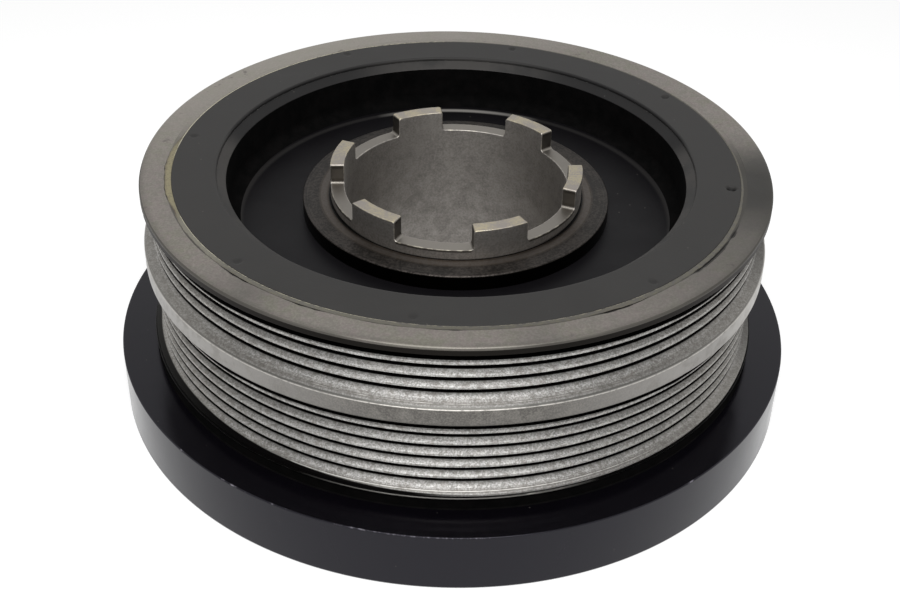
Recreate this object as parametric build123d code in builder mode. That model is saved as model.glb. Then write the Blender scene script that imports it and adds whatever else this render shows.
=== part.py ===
# Harmonic balancer for a crankshaft nose, built as a bonded stack of turned rings.
# The axis is Z, the rear face stands at z = 0 and +Z points out of the front.
# Heights are measured up from the rear face, in millimetres.
import math
import os

from build123d import *

os.makedirs("parts", exist_ok=True)

# Driving dimensions of the whole stack
front_face = 67.3
edge_break = 0.4

# Belt tracks: the standard PK rib form, 3.56 mm apart with 40 degree grooves
rib_pitch = 3.56
groove_half_angle = 20.0
groove_root_flat = 0.7
rib_tip_radius = 84.2
rib_tip_flat = 0.7
front_track_grooves = 4
rear_track_grooves = 6
front_track_first_groove = front_face - 4.54
rear_track_first_groove = front_face - 25.27

# Pulley ring
ring_bore_radius = 77.9
ring_rear_face = 20.8
front_flange_radius = 86.5
middle_flange_radius = 86.9
rear_flange_radius = 86.5
front_flange_chamfer = 0.8
rear_relief_depth = 0.5
rear_relief_width = 0.55
rear_lip_width = 0.5

# Drive sleeve with its dogs and collar
bore_radius = 31.1
sleeve_radius = 35.0
collar_radius = 42.8
collar_top = front_face - 10.0
dog_top = front_face - 1.3
dog_height = 5.8
dog_count = 6
dog_angle = 25.0
first_dog_azimuth = -9.3
dog_root_radius = 0.9
sleeve_foot_groove = 0.5
bore_mouth_chamfer = 1.0

# Hub
hub_floor = front_face - 14.3
hub_web_thickness = 9.0
hub_barrel_radius = 46.0
hub_dish_radius = 63.4
hub_rim_radius = 70.4
hub_rim_top = front_face - 1.0
hub_rim_bevel_width = 2.5
hub_rim_bevel_height = 1.7
hub_rim_rear = 1.5
hub_dish_fillet = 3.2
hub_rear_fillet = 4.0
hub_draft = 1.3

# Rubber between the hub rim and the pulley ring
rubber_rear = front_face - 42.0
rubber_neck = 1.2
gate_azimuths = (172, 118, 77, 34, -9, -50, -97, -135)
gate_circle_radius = 75.3
gate_length = 2.2
gate_width = 1.3
gate_depth = 0.6

# Inertia ring and the rubber that carries it
inertia_radius = 96.2
inertia_bore_radius = 74.9
inertia_thickness = 17.2
inertia_step_radius = 86.0
inertia_rubber_inset = 1.5

# Sizes that follow from the ones above
groove_slope = math.tan(math.radians(groove_half_angle))
groove_mouth = rib_pitch - rib_tip_flat
groove_root_radius = rib_tip_radius - (groove_mouth - groove_root_flat) / 2 / groove_slope
groove_tool_radius = middle_flange_radius + 1
groove_tool_mouth = groove_root_flat + 2 * (groove_tool_radius - groove_root_radius) * groove_slope
front_track_last_groove = front_track_first_groove - (front_track_grooves - 1) * rib_pitch
rear_track_last_groove = rear_track_first_groove - (rear_track_grooves - 1) * rib_pitch
front_grooves = [front_track_first_groove - i * rib_pitch for i in range(front_track_grooves)]
rear_grooves = [rear_track_first_groove - i * rib_pitch for i in range(rear_track_grooves)]
dog_floor = dog_top - dog_height
dog_pitch_angle = 360 / dog_count
gap_angle = dog_pitch_angle - dog_angle
gap_reach = sleeve_radius + 2
hub_web_rear = hub_floor - hub_web_thickness


def corners(sketch, *places):
    """The sketch's corners that lie at the given (radius, height) places."""
    return sketch.vertices().filter_by(
        lambda v: any(math.hypot(v.X - r, v.Y - z) < 0.01 for r, z in places)
    )


# Pulley ring: three flanges with the two belt tracks sunk between them
with BuildPart() as pulley_ring:
    with BuildSketch(Plane.XZ) as ring_section:
        with BuildLine():
            Polyline(
                (ring_bore_radius, ring_rear_face),
                (rear_flange_radius, ring_rear_face),
                (rear_flange_radius, rear_track_last_groove),
                (rib_tip_radius, rear_track_last_groove),
                (rib_tip_radius, rear_track_first_groove),
                (middle_flange_radius, rear_track_first_groove),
                (middle_flange_radius, front_track_last_groove),
                (rib_tip_radius, front_track_last_groove),
                (rib_tip_radius, front_track_first_groove),
                (front_flange_radius, front_track_first_groove),
                (front_flange_radius, front_face),
                (ring_bore_radius, front_face),
                close=True,
            )
        make_face()
        # V grooves with narrow flat roots; the end grooves also slope the flanges' faces
        with BuildSketch(mode=Mode.PRIVATE) as groove:
            Polygon(
                (groove_root_radius, -groove_root_flat / 2),
                (groove_tool_radius, -groove_tool_mouth / 2),
                (groove_tool_radius, groove_tool_mouth / 2),
                (groove_root_radius, groove_root_flat / 2),
                align=None,
            )
        with Locations([(0, height) for height in front_grooves + rear_grooves]):
            add(groove.sketch, mode=Mode.SUBTRACT)
        # The front corner is turned off, and a fine relief sets a lip on the rear edge
        chamfer(corners(ring_section, (front_flange_radius, front_face)), front_flange_chamfer)
        with Locations((rear_flange_radius, ring_rear_face + rear_lip_width)):
            Rectangle(
                rear_relief_depth,
                rear_relief_width,
                align=(Align.MAX, Align.MIN),
                mode=Mode.SUBTRACT,
            )
        chamfer(
            ring_section.vertices().filter_by(
                lambda v: abs(v.X - middle_flange_radius) < 0.01
            ),
            edge_break,
        )
    revolve(axis=Axis.Z)

# Rubber ring: bonded to the rim and the pulley, with a thin skin over the rim's top
with BuildPart() as rubber_ring:
    with BuildSketch(Plane.XZ):
        with BuildLine():
            Polyline(
                (hub_dish_radius + hub_rim_bevel_width, front_face),
                (ring_bore_radius, front_face),
                (ring_bore_radius, rubber_rear),
            )
            Spline(
                (ring_bore_radius, rubber_rear),
                ((ring_bore_radius + hub_rim_radius) / 2, rubber_rear + rubber_neck),
                (hub_rim_radius, rubber_rear),
            )
            Polyline(
                (hub_rim_radius, rubber_rear),
                (hub_rim_radius, hub_rim_top),
                (hub_dish_radius + hub_rim_bevel_width, hub_rim_top),
                (hub_dish_radius + hub_rim_bevel_width, front_face),
            )
        make_face()
    revolve(axis=Axis.Z)
    # Shallow pits left where the mould was fed
    with BuildSketch(Plane.XY.offset(front_face)):
        for azimuth in gate_azimuths:
            with PolarLocations(gate_circle_radius, 1, start_angle=azimuth):
                SlotOverall(gate_length, gate_width)
    extrude(amount=-gate_depth, mode=Mode.SUBTRACT)

# Hub: a dished casting whose rim carries both rubber rings, hollow behind its web
with BuildPart() as hub:
    with BuildSketch(Plane.XZ) as hub_section:
        with BuildLine():
            Polyline(
                (sleeve_radius, 0),
                (hub_barrel_radius, 0),
                (hub_barrel_radius + hub_draft, hub_web_rear),
                (hub_dish_radius - hub_draft, hub_web_rear),
                (hub_dish_radius, hub_rim_rear),
                (hub_rim_radius, hub_rim_rear),
                (hub_rim_radius, hub_rim_top),
                (hub_dish_radius + hub_rim_bevel_width, hub_rim_top),
                (hub_dish_radius, hub_rim_top - hub_rim_bevel_height),
                (hub_dish_radius, hub_floor),
                (sleeve_radius, hub_floor),
                close=True,
            )
        make_face()
        fillet(corners(hub_section, (hub_dish_radius, hub_floor)), hub_dish_fillet)
        fillet(
            corners(
                hub_section,
                (hub_barrel_radius + hub_draft, hub_web_rear),
                (hub_dish_radius - hub_draft, hub_web_rear),
            ),
            hub_rear_fillet,
        )
        chamfer(
            corners(
                hub_section,
                (hub_barrel_radius, 0),
                (hub_dish_radius, hub_rim_rear),
                (hub_rim_radius, hub_rim_rear),
            ),
            edge_break,
        )
    revolve(axis=Axis.Z)

# Drive sleeve: pressed through the hub, with its collar seated on the hub floor
with BuildPart() as drive_sleeve:
    with BuildSketch(Plane.XZ) as sleeve_section:
        with BuildLine():
            Polyline(
                (bore_radius, 0),
                (sleeve_radius, 0),
                (sleeve_radius, hub_floor),
                (collar_radius, hub_floor),
                (collar_radius, collar_top),
                (sleeve_radius + sleeve_foot_groove, collar_top),
                (sleeve_radius, collar_top - sleeve_foot_groove),
                (sleeve_radius, dog_top),
                (bore_radius, dog_top),
                close=True,
            )
        make_face()
        chamfer(corners(sleeve_section, (bore_radius, 0)), bore_mouth_chamfer)
        chamfer(
            corners(
                sleeve_section,
                (collar_radius, collar_top),
                (sleeve_radius, dog_top),
                (bore_radius, dog_top),
            ),
            edge_break,
        )
    revolve(axis=Axis.Z)
    # Gaps between the dogs are sectors cut down from the top
    with BuildSketch(mode=Mode.PRIVATE) as gap:
        with BuildLine():
            PolarLine((0, 0), gap_reach, -gap_angle / 2)
            CenterArc((0, 0), gap_reach, -gap_angle / 2, gap_angle)
            PolarLine((0, 0), gap_reach, gap_angle / 2)
        make_face()
    with BuildSketch(Plane.XY.offset(dog_floor)):
        with PolarLocations(0, dog_count, start_angle=first_dog_azimuth + dog_pitch_angle / 2):
            add(gap.sketch)
    extrude(amount=dog_height, mode=Mode.SUBTRACT)
    # Each dog runs into its gap floors with a small radius
    fillet(
        drive_sleeve.edges()
        .filter_by(GeomType.LINE)
        .filter_by(lambda e: abs(e.center().Z - dog_floor) < 0.01),
        dog_root_radius,
    )

# Inertia ring: a heavy disc behind the pulley, with a step that meets the pulley ring
with BuildPart() as inertia_ring:
    with BuildSketch(Plane.XZ) as inertia_section:
        with BuildLine():
            Polyline(
                (inertia_bore_radius, 0),
                (inertia_radius, 0),
                (inertia_radius, inertia_thickness),
                (inertia_step_radius, inertia_thickness),
                (inertia_step_radius, ring_rear_face),
                (ring_bore_radius, ring_rear_face),
                (ring_bore_radius, inertia_thickness),
                (inertia_bore_radius, inertia_thickness),
                close=True,
            )
        make_face()
        chamfer(
            corners(
                inertia_section,
                (inertia_bore_radius, 0),
                (inertia_radius, 0),
                (inertia_radius, inertia_thickness),
            ),
            edge_break,
        )
    revolve(axis=Axis.Z)

# Inertia rubber: joins the inertia ring to the rear of the hub rim
with BuildPart() as inertia_rubber:
    with BuildSketch(Plane.XZ):
        with Locations((hub_rim_radius, inertia_rubber_inset)):
            Rectangle(
                inertia_bore_radius - hub_rim_radius,
                inertia_thickness - 2 * inertia_rubber_inset,
                align=Align.MIN,
            )
    revolve(axis=Axis.Z)

pulley_ring.part.label = "pulley_ring"
rubber_ring.part.label = "rubber_ring"
hub.part.label = "hub"
drive_sleeve.part.label = "drive_sleeve"
inertia_ring.part.label = "inertia_ring"
inertia_rubber.part.label = "inertia_rubber"

export_step(pulley_ring.part, "parts/pulley_ring.step")
export_step(rubber_ring.part, "parts/rubber_ring.step")
export_step(hub.part, "parts/hub.step")
export_step(drive_sleeve.part, "parts/drive_sleeve.step")
export_step(inertia_ring.part, "parts/inertia_ring.step")
export_step(inertia_rubber.part, "parts/inertia_rubber.step")
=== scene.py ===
# Looks for the harmonic balancer: its turned, moulded and cast rings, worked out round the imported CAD.
# The axis is Z and the rear face stands at z = 0. Sizes are in millimetres until a mesh is made.
import math
from types import SimpleNamespace

import bpy
import numpy as np
from mathutils import Matrix, Vector


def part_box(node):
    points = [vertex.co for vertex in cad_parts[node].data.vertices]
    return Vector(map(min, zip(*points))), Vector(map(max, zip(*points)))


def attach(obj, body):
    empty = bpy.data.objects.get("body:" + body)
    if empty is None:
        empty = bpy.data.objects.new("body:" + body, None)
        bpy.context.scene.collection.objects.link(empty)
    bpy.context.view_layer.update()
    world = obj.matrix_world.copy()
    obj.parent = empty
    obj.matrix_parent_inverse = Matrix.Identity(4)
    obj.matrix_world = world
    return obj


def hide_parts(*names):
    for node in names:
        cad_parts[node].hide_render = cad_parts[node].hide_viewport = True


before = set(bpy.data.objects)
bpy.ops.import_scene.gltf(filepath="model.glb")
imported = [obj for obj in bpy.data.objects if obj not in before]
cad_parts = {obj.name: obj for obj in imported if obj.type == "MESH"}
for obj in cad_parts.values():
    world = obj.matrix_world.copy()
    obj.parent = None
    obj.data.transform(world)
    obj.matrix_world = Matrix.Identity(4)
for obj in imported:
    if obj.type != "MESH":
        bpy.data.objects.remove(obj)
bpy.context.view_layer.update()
millimetre = 0.001


def spanOf(node):
    # Largest radius, lowest point and highest point of a CAD node
    low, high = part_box(node)
    return high.x / millimetre, low.z / millimetre, high.z / millimetre


pulleyRadius, pulleyRear, frontFace = spanOf("pulley_ring")
rubberRadius, rubberRear, rubberFront = spanOf("rubber_ring")
rimRadius, hubRear, rimFront = spanOf("hub")
collarRadius, sleeveRear, dogTop = spanOf("drive_sleeve")
inertiaRadius, inertiaRear, inertiaFront = spanOf("inertia_ring")
inertiaRubberRadius, inertiaRubberRear, inertiaRubberFront = spanOf("inertia_rubber")


def roundedSection(corners, support=0.35, steps=3):
    # A closed section with the material on its left. Each (radius, height, rounding) corner
    # becomes an arc tangent to both its sides: centre + rounding * direction, the direction
    # turning evenly from one side's normal to the other's. On a side that is long enough one
    # more point stands the support distance from the arc, and wear has faded out by there.
    # A fourth number on a corner scales its wear. A concave corner is marked instead
    # for painted shade, which fades out the same way.
    places = np.array([corner[:2] for corner in corners], float)
    rounding = np.array([corner[2] for corner in corners], float)
    share = np.array([(*corner, 1.0)[3] for corner in corners], float)
    toNext = np.roll(places, -1, axis=0) - places
    length = np.hypot(*toNext.T)
    forward = toNext / length[:, None]
    backward = -np.roll(forward, 1, axis=0)
    inner = np.arccos(np.clip((forward * backward).sum(1), -1, 1))
    setback = rounding / np.tan(inner / 2)
    convex = forward[:, 0] * backward[:, 1] - forward[:, 1] * backward[:, 0] > 0
    room = length - setback - np.roll(setback, -1) > 3 * support
    turn = np.linspace(0, 1, steps + 1)[:, None]
    rows, wear, soil = [], [], []
    for i in range(len(corners)):
        start = places[i] + backward[i] * setback[i]
        end = places[i] + forward[i] * setback[i]
        middle = forward[i] + backward[i]
        centre = places[i] + middle / np.hypot(*middle) * rounding[i] / math.sin(inner[i] / 2)
        sweep = math.pi - inner[i]
        arc = np.sin((1 - turn) * sweep) * (start - centre) + np.sin(turn * sweep) * (end - centre)
        parts = [centre + arc / math.sin(sweep)]
        worn = [1.0] * len(arc)
        if room[i - 1]:
            parts.insert(0, (start + backward[i] * support)[None])
            worn.insert(0, 0.0)
        if room[i]:
            parts.append((end + forward[i] * support)[None])
            worn.append(0.0)
        rows += parts
        wear += [value * convex[i] * share[i] for value in worn]
        soil += [value * (not convex[i]) for value in worn]
    return np.concatenate(rows), np.array(wear)[:, None], np.array(soil)[:, None]


def runAlong(section):
    # Length run along the section, from its first point
    return np.concatenate([[0.0], np.cumsum(np.hypot(*np.diff(section, axis=0).T))])[:, None]


def rowMiddles(section):
    # Radius and height at the middle of each side of the section, where one row of faces lies
    return ((section + np.roll(section, -1, axis=0)) / 2).T


def addObject(name, data):
    # Puts an object with this data into the scene
    item = bpy.data.objects.new(name, data)
    bpy.context.scene.collection.objects.link(item)
    return item


def closedGrid(name, radius, azimuth, height, **marks):
    # Point (i, j) is (radius cos azimuth, radius sin azimuth, height), and both directions close.
    # A normal is the sum of the four faces round its point, each weighed by its area.
    radius, azimuth, height = np.broadcast_arrays(radius, azimuth, height)
    shape = radius.shape
    places = np.stack([radius * np.cos(azimuth), radius * np.sin(azimuth), height], -1) * millimetre
    index = np.arange(radius.size, dtype=np.int32).reshape(shape)
    beside = np.roll(index, -1, axis=1)
    faces = np.stack([index, beside, np.roll(beside, -1, axis=0), np.roll(index, -1, axis=0)], -1)
    faces = faces.reshape(-1, 4)
    falling = np.roll(places, -1, axis=1) - np.roll(places, -1, axis=0)
    rising = np.roll(places, (-1, -1), axis=(0, 1)) - places
    facing = np.cross(falling, rising)
    normals = sum(np.roll(facing, shift, axis=(0, 1)) for shift in ((0, 0), (1, 0), (0, 1), (1, 1)))
    normals /= np.linalg.norm(normals, axis=-1, keepdims=True) + 1e-20

    mesh = bpy.data.meshes.new(name)
    mesh.vertices.add(radius.size)
    mesh.vertices.foreach_set("co", places.ravel())
    mesh.loops.add(faces.size)
    mesh.loops.foreach_set("vertex_index", faces.ravel())
    mesh.polygons.add(len(faces))
    mesh.polygons.foreach_set("loop_start", np.arange(0, faces.size, 4, dtype=np.int32))
    mesh.polygons.foreach_set("use_smooth", np.ones(len(faces), bool))
    mesh.update(calc_edges=True)
    for mark, values in marks.items():
        layer = mesh.attributes.new(mark, "FLOAT", "POINT")
        layer.data.foreach_set("value", np.broadcast_to(values, shape).astype(np.float32).ravel())
    mesh.normals_split_custom_set_from_vertices(normals.reshape(-1, 3))
    print(f"{name}: {shape[0]} rows by {shape[1]} columns, {2 * len(faces)} triangles")
    return addObject(name, mesh)


def turnedGrid(name, section, azimuth, wear, soil, inward=0.0, down=0.0):
    # The section turned round the axis, its points moved inward and down by the given distances
    return closedGrid(name, section[:, :1] - inward, azimuth, section[:, 1:] - down,
                      along=runAlong(section), wear=wear, soil=soil)


def evenAzimuths(count):
    # A whole turn in equal steps
    return np.arange(count) / count * 2 * math.pi


def ripple(azimuth, seed, slowest, fastest, size=1.0):
    # A closed random wave round the axis: cosines of whole numbers of turns in random phases
    turns = np.arange(slowest, fastest + 1)
    phase = np.random.default_rng(seed).uniform(0, 2 * math.pi, len(turns))
    return size * (np.cos(azimuth[..., None] * turns + phase).sum(-1) / math.sqrt(len(turns) / 2))


def turnFrom(azimuth, target):
    # Signed turn from target to azimuth, never more than half a turn
    return (azimuth - target + math.pi) % (2 * math.pi) - math.pi


def bell(azimuth, centre, reach, power=4):
    # exp(-(turn from the centre / reach) to the power), centre and reach in degrees
    return np.exp(-(turnFrom(azimuth, math.radians(centre)) / math.radians(reach)) ** power)


def bells(azimuth, each):
    # Sum of share * bell for each (centre, reach, share)
    return sum(share * bell(azimuth, centre, reach) for centre, reach, share in each)


def chips(azimuth, radius, seed, count, narrowest, widest, known=()):
    # Depth from 0 to 1 round an edge: each chip is a bell, exp(-(distance / width) squared),
    # the first ones at the known azimuths in degrees
    draw = np.random.default_rng(seed)
    place = draw.uniform(0, 2 * math.pi, count)
    place[:len(known)] = np.radians(known)
    width = draw.uniform(narrowest, widest, count)
    depth = draw.uniform(0.3, 1.0, count)
    distance = turnFrom(azimuth[:, None], place) * radius
    return (depth * np.exp(-((distance / width) ** 2))).max(1)


def srgb(code):
    # "#rrggbb" as linear colour
    channels = np.array([int(code[i:i + 2], 16) for i in (1, 3, 5)]) / 255
    linear = np.where(channels <= 0.04045, channels / 12.92, ((channels + 0.055) / 1.055) ** 2.4)
    return (*linear.tolist(), 1.0)


def addNode(tree, kind, inputs=None, output=0, **settings):
    # Adds one node and gives back one of its outputs. An input takes a value or another output.
    # A map range's inputs are 0 the value, 1 and 2 the range it comes from, 3 and 4 the one it goes to.
    node = tree.nodes.new("ShaderNode" + kind)
    for setting, value in settings.items():
        setattr(node, setting, value)
    for key, value in (inputs or {}).items():
        if isinstance(value, bpy.types.NodeSocket):
            tree.links.new(value, node.inputs[key])
        else:
            node.inputs[key].default_value = value
    return node.outputs[output]


def grain(size):
    # Noise scale that gives features of about this many millimetres
    return 1 / (size * millimetre)


# Marks that a grid can carry
gridMarks = ("along", "wear", "soil", "side", "amber", "olive", "rim", "cream")


def newFinish(name, look, **constants):
    # A Principled material, with what its layers can read: place in metres, spot, x, y, radius and
    # height in millimetres, and rightward and backward, the cosine and sine of the azimuth.
    # Anything else is worked out from the finish's dictionary when a layer first reads it.
    material = bpy.data.materials.new(name)
    material.use_nodes = True
    tree = material.node_tree
    shader = tree.nodes["Principled BSDF"]
    for socket, value in constants.items():
        shader.inputs[socket.replace("_", " ")].default_value = value
    place = addNode(tree, "TexCoord", output="Object")
    spot = addNode(tree, "VectorMath", {0: place, 1: (1 / millimetre,) * 3}, operation="MULTIPLY")
    flat = addNode(tree, "VectorMath", {0: spot, 1: (1, 1, 0)}, operation="MULTIPLY")
    outward = addNode(tree, "VectorMath", {0: flat}, operation="NORMALIZE")
    radius = addNode(tree, "VectorMath", {0: flat}, "Value", operation="LENGTH")
    reads = dict(place=place, spot=spot, radius=radius)
    for read, vector, axis in (("x", spot, "X"), ("y", spot, "Y"), ("height", spot, "Z"),
                               ("rightward", outward, "X"), ("backward", outward, "Y")):
        reads[read] = addNode(tree, "SeparateXYZ", {0: vector}, axis)
    return SimpleNamespace(material=material, tree=tree, shader=shader, look=look, reads=reads)


def workedOut(made, name):
    # A noise is its size in millimetres, detail and roughness. A ramp is what it reads, from, to
    # and, unless they are 0 and 1, the values there. A sum is its operation and its items.
    tree, look, place = made.tree, made.look, made.reads["place"]
    if name in gridMarks:
        return addNode(tree, "Attribute", output="Fac", attribute_name=name)
    if name == "rings":
        lines = {"W": shareOf(made, "along"), "Scale": 1 / look["lineSpacing"], "Detail": 2.0}
        return addNode(tree, "TexNoise", lines, noise_dimensions="1D")
    if name == "specks":
        return addNode(tree, "TexVoronoi", {"Vector": place, "Scale": grain(look["dustSpacing"])}, "Distance")
    if name in look["noises"]:
        size, detail, rough = look["noises"][name]
        inputs = {"Vector": place, "Scale": grain(size), "Detail": detail, "Roughness": rough}
        return addNode(tree, "TexNoise", inputs)
    if name in look["ramps"]:
        source, *ends = look["ramps"][name]
        return addNode(tree, "MapRange", {0: shareOf(made, source), **dict(enumerate(ends, 1))})
    if name in look.get("sums", {}):
        return combined(made, *look["sums"][name])
    return shareOf(made, look["bands"][name])


def shareOf(made, source):
    # A name stands for what it was worked out as, and a number or an output for itself. A tuple
    # is a band: what it reads, from, to, and the distance over which it eases from 1 between
    # them to 0 outside. A list is the product of its items, so it is where all of them hold.
    if isinstance(source, str):
        if source not in made.reads:
            made.reads[source] = workedOut(made, source)
        return made.reads[source]
    if isinstance(source, tuple):
        value, low, high, soft = source
        ends = ({1: low - soft, 2: low}, {1: high, 2: high + soft, 3: 1.0, 4: 0.0})
        source = [addNode(made.tree, "MapRange", {0: shareOf(made, value), **end},
                          interpolation_type="SMOOTHSTEP") for end in ends]
    return combined(made, "MULTIPLY", *source) if isinstance(source, list) else source


def combined(made, operation, *items):
    # One operation over several items, from the first to the last
    total = shareOf(made, items[0])
    for item in items[1:]:
        total = addNode(made.tree, "Math", {0: total, 1: shareOf(made, item)}, operation=operation)
    return total


def laidOver(made, colour, *layers):
    # Colours laid one over another: each layer is its colour and the shares that it shows by
    if isinstance(colour, str):
        colour = srgb(made.look[colour])
    for upper, *shares in layers:
        mix = {0: shareOf(made, shares), 6: colour, 7: srgb(made.look.get(upper, upper))}
        colour = addNode(made.tree, "Mix", mix, 2, data_type="RGBA")
    return colour


def finished(made, colour, *layers):
    # Lays the layers over the colour, and links it and the bumps to the shader, with the roughness
    # where it varies. A bump is what it reads, its strength and its depth in millimetres.
    tree, inputs = made.tree, made.shader.inputs
    tree.links.new(laidOver(made, colour, *layers), inputs["Base Color"])
    if "roughness" not in made.look:
        tree.links.new(shareOf(made, "rough"), inputs["Roughness"])
    normal = {}
    for source, strength, depth in made.look["bumps"]:
        bump = {"Height": shareOf(made, source), "Strength": shareOf(made, strength),
                "Distance": depth * millimetre}
        normal = {"Normal": addNode(tree, "Bump", {**bump, **normal})}
    tree.links.new(normal["Normal"], inputs["Normal"])
    return made.material


beltIron = dict(
    grey="#6f6d69", flank="#8b8a87", bright="#c1c0be", blotch="#94908a", brown="#6a645e",
    inner="#62605d", wide="#5f5b56", quiet="#98948d", smooth="#6c6b68", chamfer="#565552",
    slopeHighlight="#cfcdc9", edge="#b9b6b0", middle="#595754", middlePale="#94928f", wall="#1d1b19",
    wallSide="#33302e", crease="#0b0a0a", sideShade="#22211f",
    anisotropy=0.6, flankRoughness=0.6, lineSpacing=0.45,
    noises=dict(patch=(3.0, 4.0, 0.6), cluster=(1.1, 3.0, 0.5), speckle=(0.45, 2.0, 0.7)),
    bands=dict(
        track=("height", 18.0, frontFace - 2.3, 0.04),
        frontTrack=("height", frontFace - 20, frontFace - 2.3, 0.04),
        rearTrack=("height", 18.0, frontFace - 22, 0.04),
        # The front flange's outer wall is painted dark as painted shade, darker still at front and back
        wall=("height", frontFace - 2.3, frontFace - 0.8, 0.05),
        flank=["track", ("radius", 80.0, 86.4, 0.1)],
        outerFlank=["track", ("radius", 85.3, 86.78, 0.05)],
        wideFlank=["track", ("radius", 84.35, 86.4, 0.1)],
        chamfer=["track", ("radius", 86.45, 86.78, 0.05)],
        middle=["track", ("radius", 86.75, 88.0, 0.1)],
        middleEdge=[("radius", 86.75, 88.0, 0.04), ("height", frontFace - 18.12, frontFace - 17.9, 0.04)],
        # Painted shade: black in the lip's relief, and on the lip's sides away from the front and back
        lip=[("height", pulleyRear + 0.3, pulleyRear + 0.6, 0.03), ("radius", 85.0, 86.2, 0.06)],
        lipSides=[("height", pulleyRear + 0.1, pulleyRear + 0.62, 0.03), ("radius", 85.0, 88.0, 0.1)],
        # The rear lip's outer edge gets a painted highlight at front and back
        lipEdge=[("height", pulleyRear + 0.16, pulleyRear + 0.46, 0.05), ("radius", 86.3, 88.0, 0.05)],
        # A fine bright line near each flange, shown at front and back only, is a painted highlight
        frontLine=["frontTrack", ("radius", 85.45, 85.53, 0.08), 0.6],
        rearLine=["rearTrack", ("radius", 85.15, 85.23, 0.08)],
        besideFront=["frontTrack", ("radius", 85.11, 85.87, 0.1)],
        besideRear=["rearTrack", ("radius", 84.81, 85.57, 0.1)],
        # Painted shade in the relief above the rear lip, reaching further up on the left than on the right
        reliefShade=[("height", pulleyRear + 0.46, pulleyRear + 2.0, 0.03), ("reliefShadeReach", 86.18, 90.0, 0.3)],
        # Painted shade: groove roots black, further out towards the two sides and under the flanges
        rootShade=["track", ("rootReach", 0.0, 84.15, 0.25), ("radius", 79.5, 84.4, 0.1)],
        flangeShade=[("flangeReach", 0.0, 86.35, 0.15), ("radius", 79.5, 86.45, 0.1)],
        frontFlangeShade=[("height", frontFace - 6.1, frontFace - 2.3, 0.2), "flangeShade"],
        rearFlangeShade=[("height", frontFace - 26.9, frontFace - 22.95, 0.2), "flangeShade"]),
    ramps=dict(
        ahead=("endwise", 0.6, 0.95), aside=("endwise", 0.995, 0.9),
        quieter=("endwise", 0.93, 0.6, 0.0, 0.35),
        line=(["lines", "patch", "ahead"], 0.25, 0.45), reliefShadePale=("rightward", -0.7, -1.0),
        leftReach=("rightward", 0.0, -0.8, 0.0, 1.36), rightReach=("rightward", 0.0, 0.6, 0.0, -0.72),
        # The middle flange is painted paler at its two sides: a painted reflection
        rubbedLeft=("rightward", -0.173, -0.713), rubbedRight=("rightward", 0.23, 0.633, 0.0, 0.8),
        # Painted highlight on the middle flange's right end, and painted shade over the flanks' right end
        lit=("rightward", 0.78, 0.9, 0.0, 0.42), dusk=("rightward", 0.91, 1.0, 0.0, 0.6),
        # The middle flange's edge line is worn metal, brightened further as a painted highlight
        scuffed=("patch", 0.5, 0.62, 0.0, 0.35), wornGlintLine=(["middleEdge", "cluster"], 0.22, 0.5, 0.0, 0.85),
        sparkling=("speckle", 0.4, 0.62), cloudy=("patch", 0.3, 0.7, -0.3, 0.3),
        blotched=("patch", 0.52, 0.62, 0.0, 0.25), browned=("cluster", 0.5, 0.62, 0.0, 0.45),
        # The flanks are painted darker towards the groove roots: painted shade
        innermost=("radius", 82.4, 84.0, 0.35, 0.0), uneven=("patch", 0.3, 0.7, 0.35, 0.48),
        ringShare=("flank", 0.0, 1.0, 0.5, 0.1)),
    sums=dict(
        endwise=("MAXIMUM", "backward", ["backward", -1.0]), lines=("ADD", "frontLine", "rearLine"),
        beside=("MAXIMUM", "besideFront", "besideRear"), rubbed=("MAXIMUM", "rubbedLeft", "rubbedRight"),
        sparkle=("ADD", "sparkling", "cloudy"), reliefShadeReach=("ADD", "radius", "leftReach", "rightReach"),
        rootReach=("ADD", ["endwise", 1.7], "radius"), flangeReach=("ADD", ["endwise", 2.9], "radius"),
        root=("MAXIMUM", "rootShade", "frontFlangeShade", "rearFlangeShade"), dull=("MAXIMUM", "flank", "wall")),
    bumps=(("rings", "ringShare", 0.01), ("speckle", "flank", 0.02)))


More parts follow.
